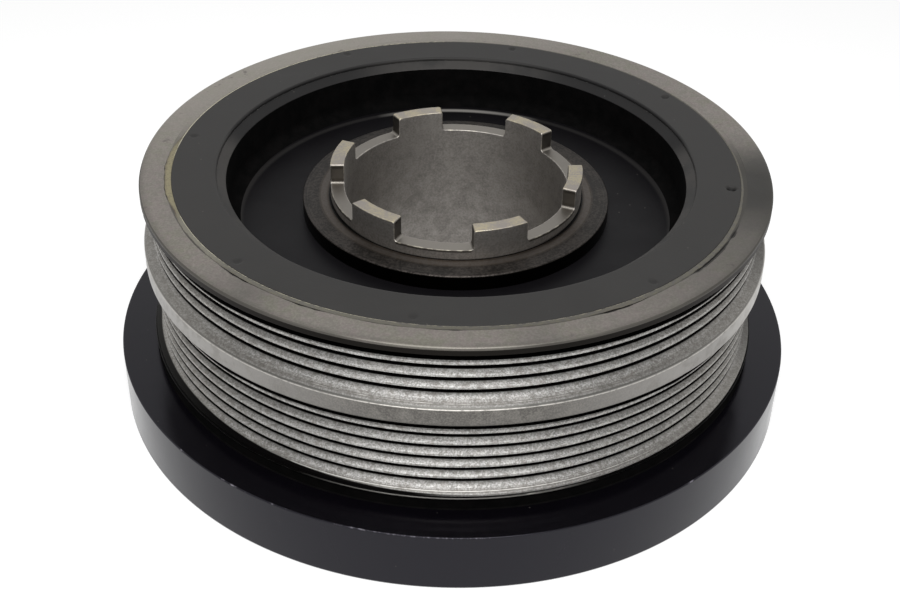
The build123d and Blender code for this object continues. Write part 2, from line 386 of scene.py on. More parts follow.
def makeBeltIron(look):
    # Turned iron of the belt tracks, its rings stretching the highlights, with pale gritty flanks.
    # Painted shade: black in the groove roots, reaching further out towards the two sides and under
    # the flanges; black in the relief above the rear lip, reaching further up to the left than to the
    # right; darker towards the roots, over the flanks' right end, on the front flange's wall, on the
    # lip's sides, and at front and back on the middle flange's chamfer and the flanks' outer part.
    # Painted highlights: one fine bright line near each flange at front and back, the middle flange
    # paler at its two sides and brighter at its right end, and the edges of the middle flange, also
    # worn, and of the rear lip. Its turning marks and grit are really finer, and are drawn as coarse
    # as they need to show.
    made = newFinish("turned_iron_track", look, Metallic=1.0, Anisotropic=look["anisotropy"],
                     Anisotropic_Rotation=0.25)
    grains = laidOver(
        made, "flank", ("bright", "sparkle"), ("blotch", "blotched"), ("brown", "browned"),
        ("inner", "innermost"), ("wide", "wideFlank", 0.33), ("quiet", "quieter"))
    split = {0: shareOf(made, "flank"), 6: srgb(look["grey"]), 7: grains}
    colour = addNode(made.tree, "Mix", split, 2, data_type="RGBA")
    rough = {0: shareOf(made, "dull"), 2: shareOf(made, "uneven"), 3: look["flankRoughness"]}
    made.reads["rough"] = addNode(made.tree, "Mix", rough)
    return finished(
        # At front and back the middle flange's chamfer and the flanks' outer part are painted darker: painted
        # shade
        made, colour, ("chamfer", "chamfer", "ahead"), ("smooth", "outerFlank", "ahead", 0.3),
        ("wide", "beside", "ahead", 0.4), ("slopeHighlight", "line"), ("sideShade", "flank", "dusk"),
        ("middle", "middle"), ("middlePale", "middle", "rubbed"), ("grey", "middle", "scuffed"),
        ("blotch", "middle", "sparkle", 0.3), ("edge", "middle", "lit"), ("edge", "wornGlintLine"),
        ("edge", "lipEdge", "ahead", "ahead", "ahead", 0.6), ("wallSide", "wall"), ("wall", "wall", "ahead"),
        ("crease", "lipSides", "aside"), ("crease", "reliefShade"), ("sideShade", "reliefShade", "reliefShadePale"),
        ("crease", "lip"), ("crease", "root"))


# A patch of painted shade is its place, solid core and reach in millimetres, its colour and its largest share
faceIron = dict(
    grey="#76726c", warm="#7d7572", olive="#737265", pale="#99958d", dark="#55524e", crease="#0c0b0a",
    # Painted shade on the near edge's rounding, less towards the lamp; paler back left as painted light
    shadowed="#45433f", lampAzimuth=-92, palerSide=(-0.55, 0.83, 0.0), stainRagged=14.0,
    noises=dict(mottle=(2.2, 4.0, 0.6), cloud=(11.0, 5.0, 0.6), grit=(0.5, 2.0, 0.5)),
    bands=dict(
        frontEdge=[("radius", 86.1, 87.0, 0.25), ("height", frontFace - 0.5, frontFace + 1, 0.1), "cloud"],
        rounding=("height", frontFace - 0.9, frontFace - 0.03, 0.02)),
    ramps=dict(
        warmth=("mottle", 0.42, 0.6, 0.0, 0.8), greenish=("cloud", 0.45, 0.6, 0.0, 0.6),
        fine=("grit", 0.4, 0.7, 0.0, 0.35), dirt=(["mottle", "cloud"], 0.35, 0.42, 0.0, 0.6),
        paler=("across", 35.0, 85.0, 0.0, 0.6), edge=("frontEdge", 0.35, 0.6, 0.0, 0.6),
        unlit=("lampward", 83.0, 85.6, 0.85, 0.6), near=("y", 20.0, -10.0),
        outer=("radius", 84.4, 86.4, 0.0, 0.45), rough=("cloud", 0.3, 0.7, 0.44, 0.56)),
    sums=dict(edging=("MAXIMUM", "outer", "rounding")),
    bumps=(("grit", 0.6, 0.008),),
    stains=(
        ((75.0, -40.0, 67.0), 0.0, 80.0, "#504e4b", 0.7), ((-49.0, -67.0, 67.0), 0.0, 26.0, "#504e4b", 0.6),
        ((20.0, -81.0, 67.0), 0.0, 24.0, "#504e4b", 0.4), ((82.0, -11.0, 67.0), 13.0, 40.0, "#393836", 0.95)))


def makeFaceIron(look):
    # Turned iron of the faces, oiled and handled: matte grey with warm and olive clouds, a few
    # dark specks, and worn paler towards the edge. Painted light: paler towards the back left, and
    # patches of painted shade on the right and at the front. The near edge is rounded, and painted
    # shade darkens it, less so where it faces the lamp, and darkens the concave corners.
    made = newFinish("turned_iron_face", look, Metallic=1.0)
    tree, spot = made.tree, made.reads["spot"]
    lamp = math.radians(look["lampAzimuth"])
    directions = dict(across=look["palerSide"], lampward=(math.cos(lamp), math.sin(lamp), 0.0))
    for name, direction in directions.items():
        towards = {0: spot, 1: direction}
        made.reads[name] = addNode(tree, "VectorMath", towards, "Value", operation="DOT_PRODUCT")
    stains = []
    for centre, core, reach, colour, most in look["stains"]:
        away = addNode(tree, "VectorMath", {0: spot, 1: centre}, "Value", operation="DISTANCE")
        away = combined(made, "ADD", ["cloud", look["stainRagged"]], away)
        fading = {0: away, 1: core, 2: reach, 3: most, 4: 0.0}
        stains.append((colour, addNode(tree, "MapRange", fading, interpolation_type="SMOOTHSTEP")))
    return finished(
        made, "grey", ("olive", "greenish"), ("warm", "warmth"), ("pale", "fine"), ("pale", "paler"),
        ("dark", "dirt"), ("pale", "edge"), *stains, ("shadowed", "edging", "unlit", "near"),
        ("crease", "soil"))


mouldedRubber = dict(
    black="#232221", dusty="#2b2a29", skin="#373533", dim="#0d0c0c", stain="#090808", speck="#55534f",
    dustSpacing=5.0,
    noises=dict(bloom=(14.0, 6.0, 0.62), fine=(0.5, 3.0, 0.5)),
    bands=dict(
        skinned=["patchy", ("radius", 60.0, 65.8, 0.2)],
        # Painted shade on the rubber's inner lip, towards the back on either side
        backRimShade=[("backward", 0.25, 0.85, 0.15), ("radius", 62.0, 66.2, 0.5)]),
    ramps=dict(
        bloomed=("bloom", 0.35, 0.65), patchy=("bloom", 0.4, 0.55, 0.0, 0.8),
        dust=("specks", 0.03, 0.06, 0.6, 0.0), rough=("bloom", 0.3, 0.7, 0.55, 0.67)),
    bumps=(("fine", 0.6, 0.03),))


def makeMouldedRubber(look):
    # Moulded synthetic rubber: charcoal with a dusty bloom, a soft broad sheen and a fine grain, with
    # painted shade on the inner lip towards the back and in the corners and gate pits
    made = newFinish("moulded_rubber", look, Specular_IOR_Level=0.25)
    return finished(made, "black", ("dusty", "bloomed"), ("skin", "skinned"), ("dim", "backRimShade"),
                    ("speck", "dust"), ("stain", "soil"))


enamel = dict(
    dustSpacing=5.0,
    noises=dict(patch=(11.0, 5.0, 0.6), chip=(0.9, 4.0, 0.5), peel=(1.6, 2.0, 0.5)),
    bands=dict(
        # A painted highlight runs along the hub floor's outer edge, strongest at the back
        floorEdgeGlint=[("floorEdgeGlintReach", 59.9, 60.3, 1.2), ("height", frontFace - 15, frontFace - 12, 0.5), "floorEdgeGlintShare"],
        outside=("radius", inertiaRadius - 0.3, inertiaRadius + 1, 0.1)),
    ramps=dict(
        dust=("specks", 0.03, 0.05, 0.8, 0.0), floorEdgeGlintShare=("backward", 0.9, 1.0, 0.05, 0.85),
        bare=(["wear", "chip"], 0.3, 0.5), uneven=("patch", 0.3, 0.7, -0.04, 0.05)),
    sums=dict(floorEdgeGlintReach=("ADD", ["backward", 2.4], "radius"), rough=("ADD", "sheen", "uneven")))

hubPaint = dict(
    enamel, name="cast_hub_enamel", black="#0c0b0d", metal="#a5a29d", dust="#4a4744", dry="#8d8a86",
    side="#0c0b0d", specular=0.09, tint="#ffffff", topRoughness=0.42, sideRoughness=0.42,
    bumps=(("peel", 0.5, 0.006),))

# The disc's side is painted lighter than its face as painted light; its bluish tint is a painted reflection
discPaint = dict(
    enamel, name="sprayed_disc_enamel", black="#060508", metal="#76737a", dust="#3c3a37", dry="#060508",
    side="#17161a", specular=0.2, tint="#efedff", topRoughness=0.2, sideRoughness=0.18,
    bumps=(("peel", 0.5, 0.004),))


def makeBlackPaint(look):
    # Satin black enamel: near black with a clear sheen, faint orange peel, bare metal where it has
    # chipped, and a painted highlight round the back of the hub floor's outer edge
    made = newFinish(look["name"], look, Specular_IOR_Level=look["specular"],
                     Specular_Tint=srgb(look["tint"]))
    rough = {0: shareOf(made, "outside"), 2: look["topRoughness"], 3: look["sideRoughness"]}
    made.reads["sheen"] = addNode(made.tree, "Mix", rough)
    return finished(made, "black", ("side", "outside"), ("dust", "dust"), ("dry", "floorEdgeGlint"), ("metal", "bare"))


recessShadeBlack = dict(
    black="#050505", dusty="#0b0a0a", roughness=0.9,
    noises=dict(patch=(4.0, 5.0, 0.65), skin=(0.6, 3.0, 0.5)),
    ramps=dict(dust=("patch", 0.4, 0.65)),
    bumps=(("skin", 0.6, 0.03),))


def makeRecessShadeBlack(look):
    # Matte near-black laid where shade falls, as painted shade: on the hub dish's wall and on the
    # inertia ring's step under the pulley
    made = newFinish("dry_black_primer", look, Specular_IOR_Level=0.03, Roughness=look["roughness"])
    return finished(made, "black", ("dusty", "dust"))


turnedSteel = dict(
    steel="#a09c97", dull="#7a7672", cut="#79756f", side="#4b4742", top="#8f8983", cream="#a89f86",
    edge="#d0cab8", collar="#252321", collarPale="#3f3b38", collarWorn="#5c5753", collarBrown="#3a332c",
    rust="#463c2f", crease="#070605", anisotropy=0.4, lineSpacing=0.3,
    noises=dict(mottle=(5.0, 6.0, 0.65), fleck=(0.6, 4.0, 0.7), patches=(1.5, 4.0, 0.5)),
    bands=dict(
        gapFloor=("radius", 31.4, 34.7, 0.1), onCollar=("radius", 35.2, 60.0, 0.1),
        outerCollar=("radius", 38.8, 60.0, 1.0), wornRing=("radius", 36.3, 37.6, 0.5),
        # The collar's outer wall is painted black as painted shade
        collarSide=("height", 0.0, frontFace - 10.45, 0.1),
        dogFace=("height", dogTop - 0.12, dogTop + 1, 0.2),
        # The collar's inner corner is painted black at the two sides as painted shade
        foot=[("height", frontFace - 11.0, frontFace - 9.6, 0.2), ("radius", 34.8, 35.5, 0.25)]),
    ramps=dict(
        dullness=("mixed", 0.8, 1.2), creamy=("mixed", 0.92, 1.12, 0.0, 0.8),
        brown=("mottle", 0.5, 0.62, 0.0, 0.5), scuffed=("scuffs", 0.9, 1.1), aside=("sideways", 20.0, 31.0),
        bare=(["wear", "patches"], 0.45, 0.65, 0.0, 0.3), rough=("mottle", 0.3, 0.7, 0.41, 0.51)),
    sums=dict(
        mixed=("ADD", "mottle", "fleck"), scuffs=("ADD", ["rings", 0.35], "fleck", ["mottle", 0.6]),
        sideways=("MAXIMUM", "x", ["x", -1.0])),
    bumps=(("rings", 0.5, 0.005), ("fleck", 0.6, 0.008)))


def makeTurnedSteel(look):
    # Turned mild steel with a thin grey oxide: grainy satin, bare and paler on the tops of the
    # dogs. Painted shade darkens the dogs' side walls, the outer edge of the gap floors, the collar's
    # outer wall, the collar's inner corner at the two sides, and the concave corners. Its turning
    # marks are really finer, and are drawn as coarse as they need to show.
    made = newFinish("turned_dull_steel", look, Metallic=1.0, Anisotropic=look["anisotropy"],
                     Anisotropic_Rotation=0.25)
    return finished(
        made, "steel", ("dull", "dullness"), ("cut", "gapFloor"), ("side", "side"),
        ("collarBrown", "onCollar"), ("rust", "onCollar", "brown"), ("collar", "outerCollar"),
        ("collarPale", "onCollar", "scuffed"), ("collarWorn", "wornRing", "fleck"), ("top", "dogFace"),
        ("cream", "dogFace", "creamy"), ("edge", "bare"), ("crease", "onCollar", "collarSide"),
        ("crease", "foot", "aside"), ("crease", "soil"))


bondingFilm = dict(
    grey="#403d39", olive="#4b483b", worn="#68655a", amber="#7a7358", brown="#41372a", cream="#aba592",
    roughness=0.5,
    noises=dict(patches=(1.2, 4.0, 0.5), streaks=(0.5, 3.0, 0.5)),
    ramps=dict(
        cloudy=("patches", 0.35, 0.65), browned=("streaks", 0.52, 0.66, 0.0, 0.45),
        creamed=(["cream", "patches"], 0.25, 0.42)),
    bumps=(("patches", 0.6, 0.05),))


def makeBondingFilm(look):
    # Dried bonding adhesive: a thin ragged skin, amber where it ran thick and grey where it was
    # wiped, browner at its outer edge and worn to a thin cream line against the rubber
    made = newFinish("dried_bonding_adhesive", look, Roughness=look["roughness"])
    return finished(made, "grey", ("olive", "cloudy"), ("worn", "olive"), ("amber", "amber"),
                    ("brown", "amber", "browned"), ("brown", "rim"), ("cream", "creamed"))


finishes = dict(
    track=makeBeltIron(beltIron),
    face=makeFaceIron(faceIron),
    rubber=makeMouldedRubber(mouldedRubber),
    hub=makeBlackPaint(hubPaint),
    disc=makeBlackPaint(discPaint),
    shadeBlack=makeRecessShadeBlack(recessShadeBlack),
    steel=makeTurnedSteel(turnedSteel),
    adhesive=makeBondingFilm(bondingFilm))
print("finishes ready")


def dress(piece, finish, slot, *nodes):
    # Gives a piece its finish and its body, and hides the CAD nodes it stands for; the slot is not used
    piece.data.materials.append(finishes[finish])
    if nodes:
        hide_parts(*nodes)
    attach(piece, "root")


def dressRows(piece, finish, rows):
    # Gives another finish to the faces of a grid whose rows are marked
    faces = np.zeros(len(piece.data.polygons), np.int32)
    piece.data.polygons.foreach_get("material_index", faces)
    faces[np.repeat(rows, len(faces) // len(rows))] = len(piece.data.materials)
    piece.data.materials.append(finishes[finish])
    piece.data.polygons.foreach_set("material_index", faces)


# Chips are their seed, count and widths, and a wave its seed, slowest and fastest turns and size
pulley = dict(
    boreRadius=77.9, flangeRadius=86.5, ribTipRadius=84.2, ribTipFlat=0.7, ribPitch=3.56,
    grooveHalfAngle=20.0, grooveRootFlat=0.7, frontGrooves=4, rearGrooves=6,
    firstFrontGroove=4.54, firstRearGroove=25.27, middleChamfer=0.4,
    reliefDepth=0.5, reliefHeight=0.55, lipHeight=0.5, lipRounding=0.08, bevelRadius=79.57, bevelDrop=0.14,
    frontRounding=0.45, rootRounding=0.25, tipRounding=0.16, edgeRounding=0.12, sharp=0.02, columns=480,
    nickDepth=0.2, nicks=(11, 40, 0.4, 1.3), lineWidth=0.3, lineDepth=0.16, lineReach=0.45,
    lineSpread=2.8, lineClosed=0.8, lineWave=(12, 20, 120, 0.25), lineBreaks=(13, 3, 30, 0.12),
    lineBells=((-34, 10, 1.3), (-60, 5, 1.0), (-91, 3, 0.4), (-116, 4, 0.6), (-132, 4, 0.8), (-165, 3, 0.75),
               (-174, 6, 0.6)),
    faceBand=0.75, innerRadius=80)


def pulleySection(size):
    # Down the flank, across the root and up the next flank, once for each belt groove
    slope = math.tan(math.radians(size["grooveHalfAngle"]))
    mouth = size["ribPitch"] - size["ribTipFlat"]
    rootRadius = size["ribTipRadius"] - (mouth - size["grooveRootFlat"]) / 2 / slope
    halfRoot = size["grooveRootFlat"] / 2
    edge, tip, root = size["edgeRounding"], size["tipRounding"], size["rootRounding"]

    def halfWidth(radius):
        return halfRoot + (radius - rootRadius) * slope

    def track(first, count):
        # From the rearmost groove of a belt track to its foremost
        corners = []
        for i in reversed(range(count)):
            middle = frontFace - first - i * size["ribPitch"]
            corners += [(rootRadius, middle - halfRoot, root), (rootRadius, middle + halfRoot, root)]
            if i:
                corners += [(size["ribTipRadius"], middle + mouth / 2, tip, 0.4),
                            (size["ribTipRadius"], middle + size["ribPitch"] - mouth / 2, tip, 0.0)]
        return corners

    flange, face = size["flangeRadius"], frontFace
    frontFirst, rearFirst = face - size["firstFrontGroove"], face - size["firstRearGroove"]
    frontLast = frontFirst - (size["frontGrooves"] - 1) * size["ribPitch"]
    lipTop = pulleyRear + size["lipHeight"]
    reliefTop, relief = lipTop + size["reliefHeight"], size["lipRounding"]
    bevel = size["middleChamfer"]
    middleRear = rearFirst + halfWidth(pulleyRadius)
    middleFront = frontLast - halfWidth(pulleyRadius)
    line, half = size["bevelRadius"], size["lineWidth"] / 2
    return [
        (size["boreRadius"], pulleyRear, edge, 0.3),
        (flange, pulleyRear, 0.1, 0.5),
        (flange, lipTop, 0.1),
        (flange - size["reliefDepth"], lipTop, relief),
        (flange - size["reliefDepth"], reliefTop, relief),
        (flange - 0.1, reliefTop, relief),
        *track(size["firstRearGroove"], size["rearGrooves"]),
        (pulleyRadius - bevel, middleRear - bevel * slope, edge, 0.2),
        (pulleyRadius, middleRear + bevel, edge, 0.2),
        (pulleyRadius, middleFront - bevel, edge, 1.0),
        (pulleyRadius - bevel, middleFront + bevel * slope, edge, 0.6),
        *track(size["firstFrontGroove"], size["frontGrooves"]),
        (flange, frontFirst + halfWidth(flange), edge, 0.4),
        (flange, face, size["frontRounding"], 0.0),
        (line + half, face, size["sharp"], 0.0),
        (line, face - size["lineDepth"], size["sharp"]),
        (line - half, face - 0.02, size["sharp"], 0.5),
        (size["boreRadius"], face - size["bevelDrop"], 0.04, 0.5),
    ]


def makePulley(size):
    # The section is turned round the axis. Small nicks cut into the two flanges' edges, and the
    # fine line cut round the front face opens out by a sum of bells, roughened by two random
    # waves, and is all but closed between them. Its painted shade fades out where it closes.
    section, wear, soil = roundedSection(pulleySection(size), steps=2)
    azimuth = evenAzimuths(size["columns"])
    nicks = chips(azimuth, pulleyRadius, *size["nicks"]) * size["nickDepth"]
    onFlange = (section[:, :1] > size["ribTipRadius"] + 1) * wear
    fromLine = section[:, :1] - size["bevelRadius"]
    atLine = (np.abs(fromLine) < size["lineReach"]) & (section[:, 1:] > frontFace - 0.5)
    inLine = soil * (section[:, 1:] > frontFace - 1)
    shown = bells(azimuth, size["lineBells"]) * (1 + ripple(azimuth, *size["lineWave"]))
    shown = np.clip(shown + ripple(azimuth, *size["lineBreaks"]), 0, 1)
    opened = atLine * fromLine * size["lineSpread"] * shown ** 2
    closed = inLine * (1 - shown) * size["lineDepth"] * size["lineClosed"]
    soil = soil * np.where(inLine > 0, shown, 1)
    piece = turnedGrid("turned_pulley", section, azimuth, wear, soil, onFlange * nicks - opened, -closed)
    dress(piece, "track", "machined_iron", "pulley_ring")
    rowRadius, rowHeight = rowMiddles(section)
    dressRows(piece, "face", (rowHeight > frontFace - size["faceBand"]) | (rowHeight < pulleyRear + 0.02)
              | (rowRadius < size["innerRadius"]))


# A gate is its azimuth in degrees and the depth of its pit
rubber = dict(
    skinRadius=65.9, lipRounding=0.5, edgeRounding=0.2, neck=1.2, faceRows=34, columns=480,
    gates=((172, 0.3), (118, 0.25), (77, 0.35), (34, 0.5), (-9, 1.4), (-50, 0.3), (-97, 0.25), (-135, 0.3)),
    gateRadius=75.3, gateLength=2.3, gateWidth=2.1, gateColumns=26, gateSpan=1.9,
    faceDepth=0.3, swell=0.05, swellWave=(21, 3, 24), cornerShade=0.6, pitShade=1.2)


def makeRubber(size):
    # The section is turned round the axis, and its front face is the height less one wave and a
    # pit at each gate: depth * exp(-(distance / size) to the 4th)
    near = np.linspace(-1, 1, size["gateColumns"]) * size["gateSpan"] / size["gateRadius"]
    extra = np.concatenate([math.radians(gate) + near for gate, depth in size["gates"]])
    azimuth = np.unique(np.concatenate([evenAzimuths(size["columns"]), extra % (2 * math.pi)]))
    section, wear, soil = roundedSection([
        (rimRadius, rubberRear, 0.1),
        ((rimRadius + rubberRadius) / 2, rubberRear + size["neck"], 6.0),
        (rubberRadius, rubberRear, 0.1),
        (rubberRadius, rubberFront, size["edgeRounding"]),
        (size["skinRadius"], rubberFront, size["lipRounding"]),
        (size["skinRadius"], rimFront, 0.1),
        (rimRadius, rimFront, 0.1)])
    face = np.flatnonzero(section[:, 1] > rubberFront - 1e-6)
    middle = face[len(face) // 2 - 1]
    across = np.linspace(section[middle, 0], section[middle + 1, 0], size["faceRows"])[1:-1]
    section = np.insert(section, middle + 1, np.stack([across, np.full(len(across), rubberFront)], 1), axis=0)
    wear, soil = (np.insert(mark, middle + 1, np.zeros((len(across), 1)), axis=0) for mark in (wear, soil))
    onFace = np.clip((section[:, 1:] - rubberFront) / size["faceDepth"] + 1, 0, 1)
    pit = 0
    for gate, depth in size["gates"]:
        outward = (section[:, :1] - size["gateRadius"]) / (size["gateLength"] / 2)
        sideways = turnFrom(azimuth, math.radians(gate)) * size["gateRadius"] / (size["gateWidth"] / 2)
        pit = pit + depth * np.exp(-((outward ** 2 + sideways ** 2) ** 2))
    wave = size["swell"] * (0.5 + 0.5 * np.tanh(ripple(azimuth, *size["swellWave"])))
    # Concave corners and gate pits get painted shade
    soil = np.clip(soil * size["cornerShade"] + onFace * pit * size["pitShade"], 0, 1)
    piece = turnedGrid("moulded_rubber_ring", section, azimuth, wear, soil, down=onFace * (pit + wave))
    dress(piece, "rubber", "bonded_rubber", "rubber_ring")


film = dict(
    radius=77.93, width=0.4, height=0.05, columns=900, rows=20, widthWave=(31, 6, 40, 0.05),
    widthFray=(33, 60, 180, 0.03), heightWave=(32, 20, 120, 0.2), rimWave=(34, 4, 40, 2.0),
    rimWidth=0.45, rimFade=0.2, creamWidth=0.3, creamFade=0.1,
    amberWidth=1.25, amber=(-171, 15), wideWidth=1.1, wide=(-92, 76), olive=(-147, 12),
    thinOlive=(-130, 34.3775), thinShare=0.25,
    creamBells=((160, 24, 1.0), (115, 26, 0.9), (-148, 9, 1.0), (-122, 24, 0.75), (-72, 34, 0.65)))


def makeFilm(size):
    # A flat ellipse carried round the joint. Its width is a base plus the larger of two flat-topped
    # bells, roughened by two random waves. The marks give its colour.
    azimuth = evenAzimuths(size["columns"])
    turn = evenAzimuths(size["rows"])[:, None]
    amber, wide = (bell(azimuth, *size[place], power=6) for place in ("amber", "wide"))
    width = size["width"] + np.maximum(size["amberWidth"] * amber, size["wideWidth"] * wide)
    width *= 1 + ripple(azimuth, *size["widthWave"]) + ripple(azimuth, *size["widthFray"])
    outward = width * (0.5 + 0.5 * np.cos(turn))
    radius = size["radius"] + outward
    bevel = (pulley["bevelRadius"] - radius) / (pulley["bevelRadius"] - size["radius"])
    bevelled = pulley["bevelDrop"] * np.clip(bevel, 0, 1)
    uneven = 1 + ripple(azimuth, *size["heightWave"])
    height = frontFace - bevelled + size["height"] * np.sin(turn) * uneven
    patchy = 0.5 + 0.5 * np.tanh(ripple(azimuth, *size["rimWave"]))
    rim = np.clip((outward - width + size["rimWidth"]) / size["rimFade"], 0, 1) * (0.25 + 0.75 * patchy)
    rim = rim * np.clip(amber * 2, 0.15, 1)
    cream = np.clip((size["creamWidth"] - outward) / size["creamFade"], 0, 1)
    cream = cream * np.clip(bells(azimuth, size["creamBells"]), 0, 1)
    olive = np.maximum(bell(azimuth, *size["olive"]), size["thinShare"] * bell(azimuth, *size["thinOlive"]))
    piece = closedGrid("bonding_film", radius, azimuth, np.minimum(height, frontFace - 0.005),
                       rim=rim, cream=cream, amber=amber, olive=olive * (1 - amber))
    dress(piece, "adhesive", "bonded_rubber")


hub = dict(
    boreRadius=35.0, barrelRadius=46.0, dishRadius=63.4, bevelRadius=65.9, bevelDrop=1.7,
    floorDepth=14.3, webThickness=9.0, rimRear=1.5, draft=1.3, dishFillet=3.2, rearFillet=4.0, edge=0.4,
    wearShare=0.6, columns=480)


def makeHub(size):
    # The section is turned round the axis. The rim's bevel keeps a skin of rubber, and the
    # dish's wall is painted matte black as painted shade.
    floor = frontFace - size["floorDepth"]
    web = floor - size["webThickness"]
    dish, bevelFoot = size["dishRadius"], rimFront - size["bevelDrop"]
    section, wear, soil = roundedSection([
        (size["boreRadius"], hubRear, 0.1),
        (size["barrelRadius"], hubRear, size["edge"]),
        (size["barrelRadius"] + size["draft"], web, size["rearFillet"]),
        (dish - size["draft"], web, size["rearFillet"]),
        (dish, size["rimRear"], size["edge"]),
        (rimRadius, size["rimRear"], size["edge"]),
        (rimRadius, rimFront, 0.1),
        (size["bevelRadius"], rimFront, 0.1),
        (dish, bevelFoot, 0.5),
        (dish, floor, size["dishFillet"]),
        (size["boreRadius"], floor, 0.1)], steps=8)
    piece = turnedGrid("cast_hub", section, evenAzimuths(size["columns"]), wear * size["wearShare"], soil)
    dress(piece, "hub", "black_paint", "hub")
    radius, height = rowMiddles(section)
    dressRows(piece, "rubber", (radius > dish - 0.02) & (radius < size["bevelRadius"]) & (height > floor + 5))
    dressRows(piece, "shadeBlack", (radius > dish - size["dishFillet"] + 0.3) & (radius < dish + 0.05)
              & (height > floor + 0.01) & (height < bevelFoot - 0.05))


sleeve = dict(
    boreRadius=31.1, sleeveRadius=35.0, collarTop=10.0, footGroove=0.25, mouthChamfer=1.0,
    dogCount=6, dogAngle=25.0, firstDog=-9.3, dogHeight=5.8, rootRadius=0.9, cornerRadius=0.7,
    edgeRounding=0.22, collarEdge=0.4, wallLean=3.2, baseDepth=1.8)


def dogOutline(size):
    # Unrolled outline of one gap and dog: (arc length, height), by straight runs and tangent arcs.
    # The foot is where each of its points comes up from, spread out inside the dog's root.
    # Half of it is worked out and mirrored, and the whole is repeated round the sleeve.
    middle = (size["boreRadius"] + size["sleeveRadius"]) / 2
    pitch = 2 * math.pi * middle / size["dogCount"]
    half = math.radians(size["dogAngle"] / 2) * middle
    floor, top = dogTop - size["dogHeight"], dogTop
    root, corner, lean = size["rootRadius"], size["cornerRadius"], size["wallLean"]
    turn = np.linspace(0, math.pi / 2, 7)
    gapRun = np.linspace(-pitch / 2, -half - root, 18)[:-1]
    wall = np.linspace(floor + root, top - corner, 8)[1:-1]
    topRun = np.linspace(-half + corner, 0, 16)[1:-1]
    arc = np.concatenate([gapRun, -half - root + root * np.sin(turn), np.full(len(wall), -half),
                          -half + corner - corner * np.cos(turn), topRun])
    height = np.concatenate([np.full(len(gapRun), floor), floor + root - root * np.cos(turn), wall,
                             top - corner + corner * np.sin(turn), np.full(len(topRun), top)])
    rootEnd = len(gapRun) + len(turn) - 1
    topStart = rootEnd + len(wall) + len(turn)
    foot = arc.copy()
    foot[rootEnd:topStart + 1] = np.linspace(-half, -half + lean, topStart + 1 - rootEnd)
    foot[topStart:] = np.linspace(-half + lean, topRun[-1], len(arc) - topStart)
    arc, foot = (np.concatenate([run, [0.0], -run[:0:-1]]) for run in (arc, foot))
    height = np.concatenate([height, [top], height[:0:-1]])
    shift = np.arange(size["dogCount"])[:, None] * pitch + math.radians(size["firstDog"]) * middle
    arc, foot = ((run + shift).ravel() / middle for run in (arc, foot))
    return arc, np.tile(height, size["dogCount"]), foot, middle


def makeSleeve(size):
    # Rows run up the sleeve's outside, over the dogs and gaps, and down its bore. A row on the dogs
    # is the outline moved in along its normal, a wall row lies part of the way from a level base
    # to that outline, and the other rows are plain rings of the turned section.
    azimuth, top, foot, middle = dogOutline(size)
    run = turnFrom(np.roll(azimuth, -1), np.roll(azimuth, 1)) * middle
    rise = np.roll(top, -1) - np.roll(top, 1)
    inX, inZ = rise / np.hypot(run, rise), -run / np.hypot(run, rise)
    collarTop, floor = frontFace - size["collarTop"], frontFace - hub["floorDepth"]
    bore, outer, edge = size["boreRadius"], size["sleeveRadius"], size["edgeRounding"]
    base = dogTop - size["dogHeight"] - size["baseDepth"]
    turn = np.linspace(0, math.pi / 2, 4)
    rows = []

    def plainRow(radius, height, wear=0.0, soil=0.0):
        rows.append((radius, foot, height, wear, soil))

    def dogRow(radius, inset, wear):
        rows.append((radius, azimuth + inX * inset / middle, top + inZ * inset, wear, 0.0))

    def wallRow(radius, share):
        x, z = azimuth + inX * edge / middle, top + inZ * edge
        rows.append((radius, foot + (x - foot) * share, base + (z - base) * share, 0.0, 0.0))

    lower, lowerWear, lowerHollowShade = roundedSection([
        (bore, sleeveRear, 0.1),
        (outer, sleeveRear, 0.1),
        (outer, floor, 0.1),
        (collarRadius, floor, 0.1),
        (collarRadius, collarTop, size["collarEdge"], 0.35),
        (outer + size["footGroove"], collarTop, 0.1, 0.0),
        (outer, collarTop - size["footGroove"], 0.1),
        (outer, base, 0.01),
        (bore, base, 0.01)])
    keep = lower[:, 1] < base - 0.05
    keep &= ~((lower[:, 0] < bore + 0.01) & (lower[:, 1] > base - 0.5))
    for i in np.flatnonzero(keep):
        plainRow(*lower[i], *lowerWear[i], *lowerHollowShade[i])
    plainRow(outer, base)
    for share in (0.3, 0.6, 0.85):
        wallRow(outer, share)
    for angle in turn:
        dogRow(outer - edge * (1 - math.cos(angle)), edge * (1 - math.sin(angle)), 1.0)
    for share in (0.1, 0.35, 0.65, 0.9):
        dogRow(outer - edge + (bore + 2 * edge - outer) * share, 0.0, 0.0)
    for angle in turn[::-1]:
        dogRow(bore + edge * (1 - math.cos(angle)), edge * (1 - math.sin(angle)), 1.0)
    for share in (0.85, 0.6, 0.3):
        wallRow(bore, share)
    for height in np.linspace(base, sleeveRear + size["mouthChamfer"] + 1, 9):
        plainRow(bore, height)
    radius, turned, height = (np.stack([np.broadcast_to(row[i], foot.shape) for row in rows])
                              for i in range(3))
    wear, soil = (np.array([row[i] for row in rows])[:, None] for i in (3, 4))

    # The dogs' side walls, and the outer edge of the gap floors, are marked for painted shade
    onDog = (radius > bore + edge * 0.5) & (radius < outer - edge * 0.5) & (height > base)
    inGap = (top < dogTop - size["dogHeight"] + 0.1) & (height > base + 1) & (radius > outer - edge * 0.9)
    side = np.maximum(np.clip(np.abs(inX) * 1.5 - 0.6, 0, 1) * onDog, inGap)
    piece = closedGrid("turned_drive_sleeve", radius, turned, height, wear=wear, soil=soil, side=side,
                       along=runAlong(np.stack([radius[:, 0], height[:, 0]], 1)))
    dress(piece, "steel", "machined_steel", "drive_sleeve")


